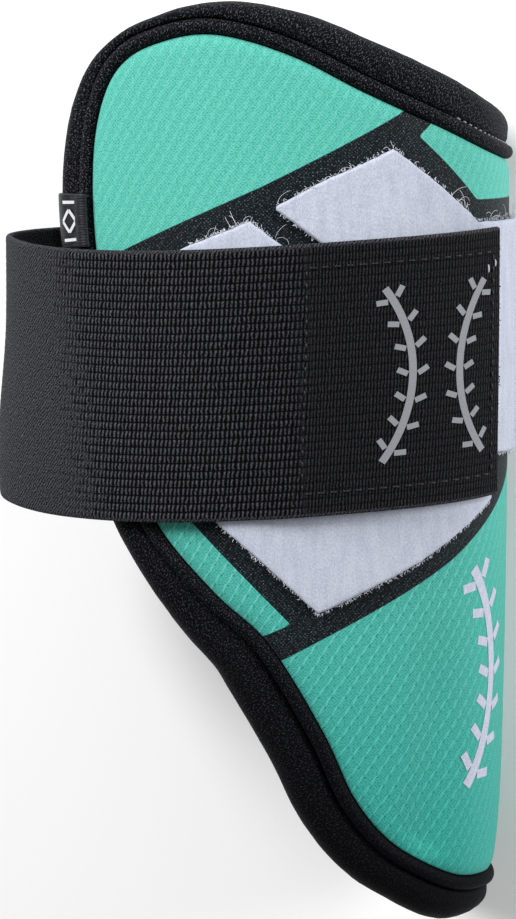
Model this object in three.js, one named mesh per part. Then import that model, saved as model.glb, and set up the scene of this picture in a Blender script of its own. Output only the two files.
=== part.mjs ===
import * as THREE from 'three';

// Baseball elbow guard in millimetres: a stiff shell in a printed fabric cover, on a foam liner
// whose rolled rim stands out all round, with piping in the seam, loop patches on the front and
// one wide elastic strap that fastens with a hook tab.
// The guard's own frame has x towards the front ridge, y across the arm with the near side at -y,
// and z up along the arm from the lowest point. The finished guard lies on its far side.

// Overall sizes
const guardHeight = 262; // rim to rim along the arm
const guardDepth = 138; // front ridge to the back of the oval round the arm
const guardWidth = 100; // across the arm, over the cover

// Layers and trim
const coverWall = 3; // stiff shell laminated in its fabric
const linerWall = 9; // foam pad
const layerGap = 0.3; // between layers that touch
const rimWidth = 12.5; // how far the rolled rim stands out past the cover
const rimCrest = 0.4; // how far the roll's crest lies below the cover's face
const pipingDiameter = 4;
const pipingProud = 1; // how far the piping stands out over the cover's face
const edgeDrop = 0.9; // how far the cover's face falls towards its seam
const edgeDropWidth = 5;
const patchWall = 1.8; // loop pile on its backing

// Strap
const strapWidth = 74;
const strapWall = 2;
const strapEndRound = 1; // corner radius of its two ends
const hookTabWall = 1;
const hookTabLength = 57;
const hookTabInset = 4; // from the strap's two long edges
const strapRamp = 12; // length over which the strap climbs onto the tab

// Woven side label, folded over the rim
const labelLength = 14.4; // down to the strap's edge
const labelWall = 0.8;

// Where things lie on the form: wrap is the share of the half turn from the front ridge, 0,
// round to the back of the arm, 1; past 1 it runs on round the far side.
const strapFrontWrap = 0.163;
const strapSewnWrap = 1.48;
const labelAlong = 0.428; // middle of the label, as a share of the half outline from the top
const halfTurn = Math.PI;

// How the guard lies on its far side, in degrees from a level arm axis and a level mid-plane
const layOver = -90;
const restPitch = 1.1;
const restRoll = 12.9;
const pilePress = 0.6; // how far the guard's weight presses the pile flat that it lies on

// Cross-sections from the bottom up: front and back are shares of guardDepth from the arm's
// axis, and half is the half width as a share of guardWidth.
const sections = [
  { height: 0.0, front: 0.478, back: -0.07, half: 0.34 },
  { height: 0.1, front: 0.502, back: -0.2, half: 0.4 },
  { height: 0.25, front: 0.511, back: -0.38, half: 0.455 },
  { height: 0.45, front: 0.515, back: -0.5, half: 0.49 },
  { height: 0.65, front: 0.515, back: -0.487, half: 0.5 },
  { height: 0.85, front: 0.514, back: -0.485, half: 0.5 },
  { height: 1.0, front: 0.51, back: -0.47, half: 0.49 },
];
const frontFullness = 0.25; // squares the section up towards the ridge
const backFullness = -0.2; // draws it in towards the back of the arm

// Half of the cover's outline, from the ridge's top round the near side to the ridge's bottom.
// rim is the rolled rim's width there, as a share of rimWidth.
const outline = [
  { wrap: 0, height: 0.818, rim: 1.2 },
  { wrap: 0.14, height: 0.829, rim: 1.24 },
  { wrap: 0.269, height: 0.859, rim: 1.2 },
  { wrap: 0.372, height: 0.891, rim: 1.14 },
  { wrap: 0.458, height: 0.925, rim: 1.0 },
  { wrap: 0.53, height: 0.945, rim: 0.84 },
  { wrap: 0.587, height: 0.951, rim: 0.7 },
  { wrap: 0.645, height: 0.942, rim: 0.64 },
  { wrap: 0.689, height: 0.926, rim: 0.68 },
  { wrap: 0.719, height: 0.898, rim: 0.84 },
  { wrap: 0.738, height: 0.85, rim: 1.02 },
  { wrap: 0.743, height: 0.79, rim: 1.1 },
  { wrap: 0.737, height: 0.725, rim: 1.06 },
  { wrap: 0.715, height: 0.63, rim: 1 },
  { wrap: 0.682, height: 0.53, rim: 1.04 },
  { wrap: 0.637, height: 0.443, rim: 1.12 },
  { wrap: 0.572, height: 0.371, rim: 1.28 },
  { wrap: 0.519, height: 0.326, rim: 1.36 },
  { wrap: 0.486, height: 0.274, rim: 1.38 },
  { wrap: 0.458, height: 0.213, rim: 1.36 },
  { wrap: 0.44, height: 0.15, rim: 1.32 },
  { wrap: 0.402, height: 0.107, rim: 1.26 },
  { wrap: 0.34, height: 0.079, rim: 1.2 },
  { wrap: 0.24, height: 0.056, rim: 1.16 },
  { wrap: 0.12, height: 0.048, rim: 1.04 },
  { wrap: 0, height: 0.044, rim: 0.94 },
];

// Loop patches as columns across the form: the lowest and highest share of the height at each
// wrap. The front patch crosses the ridge, and the side patch has a twin on the far side.
const frontPatch = [
  { wrap: -0.487, low: 0.772, high: 0.7755 },
  { wrap: -0.432, low: 0.738, high: 0.8 },
  { wrap: -0.335, low: 0.68, high: 0.834 },
  { wrap: -0.19, low: 0.592, high: 0.757 },
  { wrap: 0, low: 0.505, high: 0.757 },
  { wrap: 0.19, low: 0.592, high: 0.757 },
  { wrap: 0.335, low: 0.68, high: 0.834 },
  { wrap: 0.432, low: 0.738, high: 0.8 },
  { wrap: 0.487, low: 0.772, high: 0.7755 },
];
const sidePatch = [
  { wrap: 0.15, low: 0.462, high: 0.54 },
  { wrap: 0.29, low: 0.404, high: 0.63 },
  { wrap: 0.441, low: 0.351, high: 0.712 },
  { wrap: 0.519, low: 0.418, high: 0.76 },
  { wrap: 0.6, low: 0.483, high: 0.733 },
  { wrap: 0.655, low: 0.62, high: 0.71 },
];

// The middle of the strap round the arm, as a share of guardHeight.
const strapLine = [
  { wrap: 0.12, middle: 0.613 },
  { wrap: 0.35, middle: 0.602 },
  { wrap: 0.6, middle: 0.5895 },
  { wrap: 0.78, middle: 0.588 },
  { wrap: 1, middle: 0.597 },
  { wrap: 1.5, middle: 0.603 },
];

// Mesh density
const halfStations = 34; // along half of the outline
const faceRings = [0.2, 0.4, 0.6, 0.8];
const rollSteps = 8;
const pipingSides = 8;
const columnSpacing = 6;
const strapRows = 6;
const patchRows = 4;
const outlineSamples = 12; // per row of the outline table
const slopeStep = 0.002; // of wrap and height, to read the form's slope

const coverInner = -coverWall;
const linerOuter = coverInner - layerGap;
const linerInner = linerOuter - linerWall;
const patchInner = layerGap;
const strapInner = patchInner + patchWall + layerGap;
const tabInner = strapInner;
const strapOverTab = tabInner + hookTabWall + layerGap;

// A smooth value between the rows of a table, from the column named key.
function between(table, place, at, key) {
  let i = 0;
  while (i < table.length - 2 && table[i + 1][place] < at) i += 1;
  const slope = (k) => {
    const before = table[Math.max(k - 1, 0)];
    const after = table[Math.min(k + 1, table.length - 1)];
    return (after[key] - before[key]) / (after[place] - before[place]);
  };
  const span = table[i + 1][place] - table[i][place];
  const s = THREE.MathUtils.clamp((at - table[i][place]) / span, 0, 1);
  const ease = s * s * (3 - 2 * s);
  return table[i][key] * (1 - ease) + table[i + 1][key] * ease
    + span * s * (1 - s) * ((1 - s) * slope(i) - s * slope(i + 1));
}

// A value on the straight lines between the rows of a table.
function straight(table, place, at, key) {
  let i = 0;
  while (i < table.length - 2 && table[i + 1][place] < at) i += 1;
  const s = (at - table[i][place]) / (table[i + 1][place] - table[i][place]);
  return THREE.MathUtils.lerp(table[i][key], table[i + 1][key], s);
}

// A point of the form, the cover's outer face, in the guard's own frame.
function formPoint(wrap, height) {
  const turn = wrap * halfTurn;
  const front = between(sections, 'height', height, 'front') * guardDepth;
  const back = between(sections, 'height', height, 'back') * guardDepth;
  const half = between(sections, 'height', height, 'half') * guardWidth;
  const ahead = Math.cos(turn);
  const fullness = (ahead > 0 ? frontFullness : backFullness) * ahead * ahead;
  return new THREE.Vector3(
    (front + back) / 2 + ((front - back) / 2) * ahead,
    -half * Math.sin(turn) * (1 + fullness),
    height * guardHeight,
  );
}

function formNormal(wrap, height) {
  const around = formPoint(wrap + slopeStep, height).sub(formPoint(wrap - slopeStep, height));
  const up = formPoint(wrap, height + slopeStep).sub(formPoint(wrap, height - slopeStep));
  return up.cross(around).normalize();
}

// A point at a depth over (+) or under (-) the cover's face.
function layerPoint(wrap, height, depth) {
  return formPoint(wrap, height).addScaledVector(formNormal(wrap, height), depth);
}

// The half outline as evenly spaced samples, each with its share of the length.
function measureOutline() {
  const mirrored = (k) => {
    const last = outline.length - 1;
    const row = outline[k < 0 ? -k : k > last ? 2 * last - k : k];
    return k < 0 || k > last ? { ...row, wrap: -row.wrap } : row;
  };
  const through = (key, k, s) => {
    const [a, b, c, d] = [-1, 0, 1, 2].map((n) => mirrored(k + n)[key]);
    return 0.5 * (2 * b + (c - a) * s + (2 * a - 5 * b + 4 * c - d) * s * s
      + (3 * b - 3 * c + d - a) * s * s * s);
  };
  const samples = [];
  const total = (outline.length - 1) * outlineSamples;
  for (let n = 0; n <= total; n += 1) {
    const k = Math.min(Math.floor(n / outlineSamples), outline.length - 2);
    const s = n / outlineSamples - k;
    const sample = { length: 0 };
    for (const key of ['wrap', 'height', 'rim']) sample[key] = through(key, k, s);
    sample.point = formPoint(sample.wrap, sample.height);
    if (n) sample.length = samples[n - 1].length + sample.point.distanceTo(samples[n - 1].point);
    samples.push(sample);
  }
  const full = samples[total].length;
  samples.forEach((sample) => { sample.share = sample.length / full; });
  return { samples, full };
}

const edge = measureOutline();

// The cover's edge at a share of the outline: 0 at the ridge's top, 1 at its bottom by way of
// the near side, and on to 2, back at the top, by way of the far side.
function edgeSpot(along) {
  const turn = ((along % 2) + 2) % 2;
  const side = turn > 1 ? -1 : 1;
  const share = turn > 1 ? 2 - turn : turn;
  const value = (key) => straight(edge.samples, 'share', share, key);
  return { wrap: side * value('wrap'), height: value('height'), rim: value('rim') };
}

// The edge with its three directions: out past the edge, and normal to the cover.
function edgeFrame(along) {
  const reach = 0.5 / halfStations;
  const spot = edgeSpot(along);
  const before = edgeSpot(along - reach);
  const after = edgeSpot(along + reach);
  const origin = formPoint(spot.wrap, spot.height);
  const normal = formNormal(spot.wrap, spot.height);
  const run = formPoint(after.wrap, after.height).sub(formPoint(before.wrap, before.height));
  const outward = run.cross(normal).normalize();
  const at = (out, depth) => origin.clone().addScaledVector(outward, out)
    .addScaledVector(normal, depth);
  return { ...spot, outward, normal, at, roll: spot.rim * rimWidth };
}

const middle = { wrap: 0, height: 0.5 };

// A point a number of millimetres inside the edge, on the way to the middle of the cover.
function insetPoint(frame, inset, depth) {
  const shareOf = (share, lift) => layerPoint(
    middle.wrap + (frame.wrap - middle.wrap) * share,
    middle.height + (frame.height - middle.height) * share,
    lift,
  );
  const reach = shareOf(1, 0).sub(shareOf(1 - slopeStep, 0)).dot(frame.outward) / slopeStep;
  return shareOf(1 - inset / reach, depth);
}

function ringPoint(frame, share, depth) {
  return layerPoint(frame.wrap * share, THREE.MathUtils.lerp(middle.height, frame.height, share), depth);
}

const stations = Array.from({ length: 2 * halfStations }, (_, k) => edgeFrame(k / halfStations));

// A closed solid through rows of points, each row a closed loop. The ends meet ('ring'), close
// on a point at each end ('poles'), or close as strips across a thin section ('strips').
// From turnRow on the rows run back under the first ones, and their facets are split the other
// way, so that layers lie flat on each other.
function loft(rows, ends, { poles = [], turnRow = rows.length } = {}) {
  const across = rows[0].length;
  const points = rows.flat();
  const faces = [];
  const quad = (a, b, c, d) => faces.push(a, b, c, a, c, d);
  const spans = ends === 'ring' ? rows.length : rows.length - 1;
  for (let i = 0; i < spans; i += 1) {
    const here = i * across;
    const next = ((i + 1) % rows.length) * across;
    for (let j = 0; j < across; j += 1) {
      const k = (j + 1) % across;
      if (i < turnRow) quad(here + j, next + j, next + k, here + k);
      else quad(next + j, next + k, here + k, here + j);
    }
  }
  const lastRow = (rows.length - 1) * across;
  if (ends === 'strips') {
    for (let j = 0; j < across / 2 - 1; j += 1) {
      const far = across - 1 - j;
      quad(j, j + 1, far - 1, far);
      quad(lastRow + far, lastRow + far - 1, lastRow + j + 1, lastRow + j);
    }
  }
  if (ends === 'poles') {
    const [first, last] = [points.length, points.length + 1];
    points.push(...poles);
    for (let j = 0; j < across; j += 1) {
      const k = (j + 1) % across;
      faces.push(first, j, k, last, lastRow + k, lastRow + j);
    }
  }
  const geometry = new THREE.BufferGeometry().setFromPoints(points);
  geometry.setIndex(faces);
  return faceOutwards(geometry);
}

function faceOutwards(geometry) {
  const at = geometry.getAttribute('position');
  const index = geometry.getIndex().array;
  const corner = (n) => new THREE.Vector3().fromBufferAttribute(at, index[n]);
  let volume = 0;
  for (let n = 0; n < index.length; n += 3) {
    volume += corner(n).dot(corner(n + 1).cross(corner(n + 2)));
  }
  if (volume < 0) {
    for (let n = 0; n < index.length; n += 3) {
      [index[n + 1], index[n + 2]] = [index[n + 2], index[n + 1]];
    }
  }
  geometry.computeVertexNormals();
  return geometry;
}

function coverGeometry() {
  const rows = [
    ...faceRings.map((share) => stations.map((f) => ringPoint(f, share, 0))),
    stations.map((f) => insetPoint(f, edgeDropWidth, 0)),
    stations.map((f) => insetPoint(f, edgeDropWidth / 3, -edgeDrop / 3)),
    stations.map((f) => f.at(0, -edgeDrop)),
    stations.map((f) => f.at(0, coverInner)),
    stations.map((f) => insetPoint(f, edgeDropWidth, coverInner)),
    ...faceRings.toReversed().map((share) => stations.map((f) => ringPoint(f, share, coverInner))),
  ];
  const pole = (depth) => layerPoint(middle.wrap, middle.height, depth);
  return loft(rows, 'poles', { poles: [pole(0), pole(coverInner)], turnRow: faceRings.length + 3 });
}

// The roll's section past the cover's edge: [out, depth] from the seam over the crest and round
// to the inner face, swollen by grow.
function rollProfile(rollWidth, grow = 0) {
  const start = pipingDiameter + 2 * layerGap;
  const crest = THREE.MathUtils.lerp(start, rollWidth, 0.4);
  const middleDepth = (linerInner - rimCrest) / 2;
  const halfThick = (-rimCrest - linerInner) / 2 + grow;
  const points = [[start + (crest - start) * 0.25 - grow, -rimCrest - 0.9 + grow / 2]];
  for (let k = 0; k <= rollSteps; k += 1) {
    const turn = Math.PI / 2 - (Math.PI * k) / rollSteps;
    points.push([
      crest + (rollWidth - crest + grow) * Math.cos(turn),
      middleDepth + halfThick * Math.sin(turn),
    ]);
  }
  return points;
}

function linerGeometry() {
  const start = pipingDiameter + 2 * layerGap;
  const profiles = stations.map((f) => rollProfile(f.roll));
  const rows = [
    ...faceRings.map((share) => stations.map((f) => ringPoint(f, share, linerOuter))),
    stations.map((f) => insetPoint(f, edgeDropWidth, linerOuter)),
    stations.map((f) => f.at(0, linerOuter)),
    stations.map((f) => f.at(start, linerOuter)),
    ...profiles[0].map((_, n) => stations.map((f, k) => f.at(...profiles[k][n]))),
    stations.map((f) => f.at(0, linerInner)),
    ...faceRings.toReversed().map((share) => stations.map((f) => ringPoint(f, share, linerInner))),
  ];
  const pole = (depth) => layerPoint(middle.wrap, middle.height, depth);
  return loft(rows, 'poles', { poles: [pole(linerOuter), pole(linerInner)] });
}

function pipingGeometry() {
  const radius = pipingDiameter / 2;
  const rows = stations.map((f) => Array.from({ length: pipingSides }, (_, k) => {
    const turn = (2 * Math.PI * k) / pipingSides;
    return f.at(
      layerGap + radius + radius * Math.cos(turn),
      pipingProud - radius + radius * Math.sin(turn),
    );
  }));
  return loft(rows, 'ring');
}

// A sheet on the form from wrap to wrap: band(wrap) gives its low and high height in shares and
// its inner and outer depth.
function sheetGeometry(wraps, rowCount, band) {
  const rows = wraps.map((wrap) => {
    const { low, high, inner, outer } = band(wrap);
    const heights = Array.from({ length: rowCount + 1 }, (_, k) => low + ((high - low) * k) / rowCount);
    return [
      ...heights.map((height) => layerPoint(wrap, height, outer)),
      ...heights.toReversed().map((height) => layerPoint(wrap, height, inner)),
    ];
  });
  return loft(rows, 'strips');
}

// Wraps from one place to another with columns no wider than columnSpacing, through the stops.
function spacedWraps(stops, height) {
  const wraps = [stops[0]];
  for (let k = 1; k < stops.length; k += 1) {
    const [from, to] = [stops[k - 1], stops[k]];
    const length = formPoint(from, height).distanceTo(formPoint(to, height));
    const count = Math.max(1, Math.ceil((length * Math.max(1, Math.abs(to - from) * 2)) / columnSpacing));
    for (let n = 1; n <= count; n += 1) wraps.push(THREE.MathUtils.lerp(from, to, n / count));
  }
  return wraps;
}

function patchGeometry(columns, side = 1) {
  const wraps = spacedWraps(columns.map((c) => c.wrap), middle.height);
  const geometry = sheetGeometry(wraps, patchRows, (wrap) => ({
    low: straight(columns, 'wrap', wrap, 'low'),
    high: straight(columns, 'wrap', wrap, 'high'),
    inner: patchInner,
    outer: patchInner + patchWall,
  }));
  if (side < 0) geometry.scale(1, -1, 1);
  return faceOutwards(geometry);
}

// The strap's middle height at a wrap, as a share of the guard's height.
function strapMiddle(wrap) {
  return between(strapLine, 'wrap', wrap, 'middle');
}

// How much of the half turn a length takes at the strap.
function wrapOf(length, wrap) {
  const height = strapMiddle(wrap);
  const step = formPoint(wrap + slopeStep, height).distanceTo(formPoint(wrap, height));
  return (length / step) * slopeStep;
}

const tabFrontWrap = strapFrontWrap + wrapOf(layerGap * 4, strapFrontWrap);
const tabBackWrap = tabFrontWrap + wrapOf(hookTabLength, strapFrontWrap + 0.15);

function strapBand(wrap) {
  const fromEnd = Math.min(wrap - strapFrontWrap, strapSewnWrap - wrap) / wrapOf(1, wrap);
  const rounding = Math.max(0, strapEndRound - fromEnd);
  const cornerCut = strapEndRound - Math.sqrt(strapEndRound ** 2 - rounding ** 2);
  const half = (strapWidth / 2 - cornerCut) / guardHeight;
  const ramp = THREE.MathUtils.smoothstep(
    wrap,
    tabBackWrap + wrapOf(1, tabBackWrap),
    tabBackWrap + wrapOf(strapRamp, tabBackWrap),
  );
  const inner = THREE.MathUtils.lerp(strapOverTab, strapInner, ramp);
  const centre = strapMiddle(wrap);
  return { low: centre - half, high: centre + half, inner, outer: inner + strapWall };
}

function strapGeometry() {
  const round = wrapOf(strapEndRound, strapFrontWrap);
  const endRound = wrapOf(strapEndRound, strapSewnWrap);
  const stops = [strapFrontWrap + round, 0.25, 0.4, 0.55, 0.7, 0.85, 1, 1.15, 1.3, strapSewnWrap - endRound];
  const wraps = spacedWraps(stops, strapMiddle(1));
  return sheetGeometry(
    [strapFrontWrap, strapFrontWrap + round / 3, ...wraps, strapSewnWrap - endRound / 3, strapSewnWrap],
    strapRows,
    strapBand,
  );
}

function hookTabGeometry() {
  const wraps = spacedWraps([tabFrontWrap, 0.25, tabBackWrap], strapMiddle(1));
  return sheetGeometry(wraps, strapRows, (wrap) => {
    const centre = strapMiddle(wrap);
    const half = (strapWidth / 2 - hookTabInset) / guardHeight;
    return { low: centre - half, high: centre + half, inner: tabInner, outer: tabInner + hookTabWall };
  });
}

// The label lies over the piping and folds round the roll.
function labelGeometry() {
  const steps = 5;
  const rows = Array.from({ length: steps + 1 }, (_, n) => {
    const f = edgeFrame(labelAlong + ((n / steps - 0.5) * labelLength) / edge.full);
    const layer = (grow) => {
      const lift = pipingProud + grow;
      const overPiping = [[layerGap, lift], [layerGap + pipingDiameter, lift]];
      return [...overPiping, ...rollProfile(f.roll, grow).slice(1)];
    };
    return [
      ...layer(layerGap + labelWall).map((p) => f.at(...p)),
      ...layer(layerGap).toReversed().map((p) => f.at(...p)),
    ];
  });
  return loft(rows, 'strips');
}

const finishes = {
  cover: { color: '#5fc9b4', roughness: 0.75, metalness: 0 },
  black: { color: '#17181c', roughness: 0.85, metalness: 0 },
  piping: { color: '#1b1c20', roughness: 0.8, metalness: 0 },
  loop: { color: '#d6dae8', roughness: 0.95, metalness: 0 },
  elastic: { color: '#26262a', roughness: 0.85, metalness: 0 },
  hook: { color: '#141416', roughness: 0.7, metalness: 0 },
};

function piece(name, geometry, finish) {
  const mesh = new THREE.Mesh(geometry, new THREE.MeshStandardMaterial(finish));
  mesh.name = name;
  return mesh;
}

const guard = new THREE.Group();
guard.add(
  piece('shell_cover', coverGeometry(), finishes.cover),
  piece('padded_liner', linerGeometry(), finishes.black),
  piece('edge_piping', pipingGeometry(), finishes.piping),
  piece('loop_patch_front', patchGeometry(frontPatch), finishes.loop),
  piece('loop_patch_near', patchGeometry(sidePatch), finishes.loop),
  piece('loop_patch_far', patchGeometry(sidePatch, -1), finishes.loop),
  piece('elastic_strap', strapGeometry(), finishes.elastic),
  piece('hook_tab', hookTabGeometry(), finishes.hook),
  piece('side_label', labelGeometry(), finishes.piping),
);

// Presses soft pieces flat on the floor, up to a height over their lowest point.
function pressFlat(meshes, press) {
  const cornersOf = (mesh) => {
    const at = mesh.geometry.getAttribute('position');
    return Array.from({ length: at.count }, (_, n) => (
      mesh.localToWorld(new THREE.Vector3().fromBufferAttribute(at, n))
    ));
  };
  const floor = Math.min(...meshes.flatMap(cornersOf).map((corner) => corner.z)) + press;
  for (const mesh of meshes) {
    cornersOf(mesh).forEach((corner, n) => {
      corner.z = Math.max(corner.z, floor);
      mesh.geometry.getAttribute('position').setXYZ(n, ...mesh.worldToLocal(corner));
    });
    mesh.geometry.computeVertexNormals();
  }
}

// Lays the guard on its far side, lowest point on the floor and the middle of its box over the
// origin.
function layDown(group) {
  const degrees = THREE.MathUtils.degToRad;
  group.rotation.set(degrees(layOver + restPitch), degrees(restRoll), 0, 'YXZ');
  const lying = new THREE.Group();
  lying.add(group);
  lying.updateMatrixWorld(true);
  pressFlat(['loop_patch_far', 'loop_patch_front'].map((name) => group.getObjectByName(name)), pilePress);
  const box = new THREE.Box3().setFromObject(lying, true);
  const centre = box.getCenter(new THREE.Vector3());
  group.position.set(-centre.x, -centre.y, -box.min.z);
  return lying;
}

export default layDown(guard);
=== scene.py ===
import functools
import math

import bmesh
import bpy
import numpy as np
from mathutils import Matrix, Vector


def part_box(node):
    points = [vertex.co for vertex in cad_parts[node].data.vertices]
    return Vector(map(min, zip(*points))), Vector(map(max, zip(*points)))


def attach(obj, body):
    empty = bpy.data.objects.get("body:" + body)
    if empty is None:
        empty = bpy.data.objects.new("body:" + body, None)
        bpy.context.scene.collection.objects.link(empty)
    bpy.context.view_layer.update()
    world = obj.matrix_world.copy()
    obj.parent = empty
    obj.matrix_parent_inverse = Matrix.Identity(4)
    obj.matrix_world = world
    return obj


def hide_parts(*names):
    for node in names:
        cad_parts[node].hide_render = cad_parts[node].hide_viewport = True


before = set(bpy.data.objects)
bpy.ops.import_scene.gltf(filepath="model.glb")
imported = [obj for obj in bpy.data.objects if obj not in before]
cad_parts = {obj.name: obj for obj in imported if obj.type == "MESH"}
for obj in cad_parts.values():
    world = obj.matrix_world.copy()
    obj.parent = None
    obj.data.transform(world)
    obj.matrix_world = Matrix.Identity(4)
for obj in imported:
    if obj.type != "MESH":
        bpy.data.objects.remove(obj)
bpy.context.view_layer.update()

# Sizes of the guard in millimetres, in its own frame: x towards the front ridge, the near side at
# -y, z up along the arm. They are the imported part's own sizes.
GUARD_HEIGHT = 262
GUARD_DEPTH = 138
GUARD_WIDTH = 100
COVER_WALL = 3
LINER_WALL = 9
LAYER_GAP = 0.3
RIM_WIDTH = 12.5
RIM_CREST = 0.4
PIPING_DIAMETER = 4
PIPING_PROUD = 1
EDGE_DROP = 0.9
EDGE_DROP_WIDTH = 5
PATCH_WALL = 1.8
STRAP_WIDTH = 74
STRAP_WALL = 2
STRAP_END_ROUND = 1
HOOK_TAB_WALL = 1
HOOK_TAB_LENGTH = 57
HOOK_TAB_INSET = 4
STRAP_RAMP = 12
LABEL_LENGTH = 14.4
LABEL_WALL = 0.8
LABEL_ALONG = 0.428
STRAP_FRONT_WRAP = 0.163
STRAP_SEWN_WRAP = 1.48
LAY_OVER = math.radians(-90 + 1.1)  # on its far side, with the arm's axis a little off level
REST_ROLL = math.radians(12.9)
CREASE_FROM_RIDGE = 46  # a soft crease on each side of the ridge
CREASE_WIDTH = 6.5
CREASE_DEPTH = 1.7
CREASE_TOP = 98
CREASE_FADE = 35
FRONT_FULLNESS = 0.25
BACK_FULLNESS = -0.2
HALF_STATIONS = 34  # along half of the outline, as in the solid
OUTLINE_STEPS = 12  # between two rows of the outline's table
WRAP_LENGTH = 160  # about how many millimetres one wrap is
LONGEST_WRAP = 175

COVER_INNER = -COVER_WALL
LINER_OUTER = COVER_INNER - LAYER_GAP
LINER_INNER = LINER_OUTER - LINER_WALL
PATCH_INNER = LAYER_GAP
STRAP_INNER = PATCH_INNER + PATCH_WALL + LAYER_GAP
STRAP_OVER_TAB = STRAP_INNER + HOOK_TAB_WALL + LAYER_GAP

# height, front, back, half width
SECTIONS = np.array([
    (0.0, 0.478, -0.07, 0.34),
    (0.1, 0.502, -0.2, 0.4),
    (0.25, 0.511, -0.38, 0.455),
    (0.45, 0.515, -0.5, 0.49),
    (0.65, 0.515, -0.487, 0.5),
    (0.85, 0.514, -0.485, 0.5),
    (1.0, 0.51, -0.47, 0.49),
])
# wrap, height, width of the rolled rim
OUTLINE = np.array([
    (0, 0.818, 1.2), (0.14, 0.829, 1.24), (0.269, 0.859, 1.2), (0.372, 0.891, 1.14),
    (0.458, 0.925, 1.0), (0.53, 0.945, 0.84), (0.587, 0.951, 0.7), (0.645, 0.942, 0.64),
    (0.689, 0.926, 0.68), (0.719, 0.898, 0.84), (0.738, 0.85, 1.02), (0.743, 0.79, 1.1),
    (0.737, 0.725, 1.06), (0.715, 0.63, 1.0), (0.682, 0.53, 1.04), (0.637, 0.443, 1.12),
    (0.572, 0.371, 1.28), (0.519, 0.326, 1.36), (0.486, 0.274, 1.38), (0.458, 0.213, 1.36),
    (0.44, 0.15, 1.32), (0.402, 0.107, 1.26), (0.34, 0.079, 1.2), (0.24, 0.056, 1.16),
    (0.12, 0.048, 1.04), (0, 0.044, 0.94),
])
# wrap, low, high: the front patch is alike on both sides of the ridge
from_ridge = [
    (0, 0.505, 0.757), (0.14, 0.511, 0.757), (0.19, 0.57, 0.757), (0.335, 0.68, 0.834),
    (0.432, 0.738, 0.8), (0.487, 0.772, 0.7755),
]
FRONT_PATCH = np.array([(-wrap, *span) for wrap, *span in from_ridge[:0:-1]] + from_ridge)
SIDE_PATCH = np.array([
    (0.15, 0.462, 0.54), (0.29, 0.404, 0.63), (0.441, 0.351, 0.712), (0.519, 0.418, 0.76),
    (0.6, 0.483, 0.733), (0.655, 0.62, 0.71),
])
# wrap, middle height of the strap
STRAP_LINE = np.array([
    (0.12, 0.613), (0.35, 0.602), (0.6, 0.5895), (0.78, 0.588), (1, 0.597), (1.5, 0.603),
])

# Millimetres between the cloth's own patterns
RIB_PITCH = 2.2  # rows of floats across the elastic
FLOAT_PITCH = 1.15  # floats along a row where the elastic is pulled
EMBOSS_PITCH = 3.6  # chains of ridges
EMBOSS_ROW = 2.86  # one ridge of a chain
EMBOSS_LEAN = 0.64  # sideways for each millimetre up
STITCH_PITCH = 1  # two wales or courses of the knit
TWILL_PITCH = 0.95  # of the slack elastic
LABEL_PITCH = 0.7  # two rows of the label's satin

# Millimetres up the guard, or from its ridge, between which a pattern fades in
PRESSED_FROM, EMBOSSED_TO = 185.0, 150.0
RIDGE_FADE = 28.0, 44.0
# A painted shade on the teal grows between these heights, from none at the first to full at the
# second
LOW_SHADE_FADE = 165.0, 20.0

# Colours as sRGB: in the pits, a painted shade; between stitches and on the plain face, the dye;
# and on the ridges, a painted highlight
TEAL_DYE_AND_PAINTED_LIGHT = ("1F6E62", "3C9586", "5CBCAD", "86D8CA")
TEAL_LOW_SHADE = "A0E3E5"  # painted shade: the plain teal is multiplied by this towards the low end
NAVY_DYE_AND_PAINTED_LIGHT = ("020406", "03070C", "60747C", "1B2932")
WHITE_DYE_AND_PAINTED_LIGHT = ("9298AC", "A8ADC0", "C0C4D4", "D2D6E2")
KNIT_GAP = "030305"
ELASTIC_GAP = "010102"
ELASTIC_YARN = "5C5D62"
PILE_HOLLOW_SHADE = "A2A8B9"
PILE_TIP = "C3C8D5"


def smooth(table, at, column):
    """A smooth value between the rows of a table, placed by the table's first column."""
    place, value = table[:, 0], table[:, column]
    row = np.arange(len(place))
    before, after = np.maximum(row - 1, 0), np.minimum(row + 1, len(place) - 1)
    slope = (value[after] - value[before]) / (place[after] - place[before])
    i = np.clip(np.searchsorted(place, at) - 1, 0, len(place) - 2)
    span = place[i + 1] - place[i]
    s = np.clip((at - place[i]) / span, 0, 1)
    ease = s * s * (3 - 2 * s)
    return (value[i] * (1 - ease) + value[i + 1] * ease
            + span * s * (1 - s) * ((1 - s) * slope[i] - s * slope[i + 1]))


def unit(vectors):
    return vectors / np.linalg.norm(vectors, axis=-1, keepdims=True)


def form_point(wrap, height):
    """A point of the cover's face: wrap is the share of the half turn from the front ridge round
    to the back of the arm, and height the share of the guard's height."""
    wrap, height = np.broadcast_arrays(np.asarray(wrap, float), np.asarray(height, float))
    front = smooth(SECTIONS, height, 1) * GUARD_DEPTH
    back = smooth(SECTIONS, height, 2) * GUARD_DEPTH
    half = smooth(SECTIONS, height, 3) * GUARD_WIDTH
    ahead = np.cos(wrap * math.pi)
    fullness = np.where(ahead > 0, FRONT_FULLNESS, BACK_FULLNESS) * ahead * ahead
    return np.stack([
        (front + back) / 2 + (front - back) / 2 * ahead,
        -half * np.sin(wrap * math.pi) * (1 + fullness),
        height * GUARD_HEIGHT,
    ], -1)


def form_normal(wrap, height, step=0.002):
    around = form_point(wrap + step, height) - form_point(wrap - step, height)
    up = form_point(wrap, height + step) - form_point(wrap, height - step)
    return unit(np.cross(up, around))


def layer_point(wrap, height, depth):
    """A point at a depth over (+) or under (-) the cover's face."""
    return form_point(wrap, height) + form_normal(wrap, height) * np.asarray(depth)[..., None]


def arc_length(wrap, height, steps=24):
    """Millimetres along the cloth from the front ridge to a wrap."""
    share = np.linspace(0, 1, steps + 1)
    points = [form_point(np.asarray(wrap) * k, height) for k in share]
    length = sum(np.linalg.norm(b - a, axis=-1) for a, b in zip(points, points[1:]))
    return length * np.sign(wrap)


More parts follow.
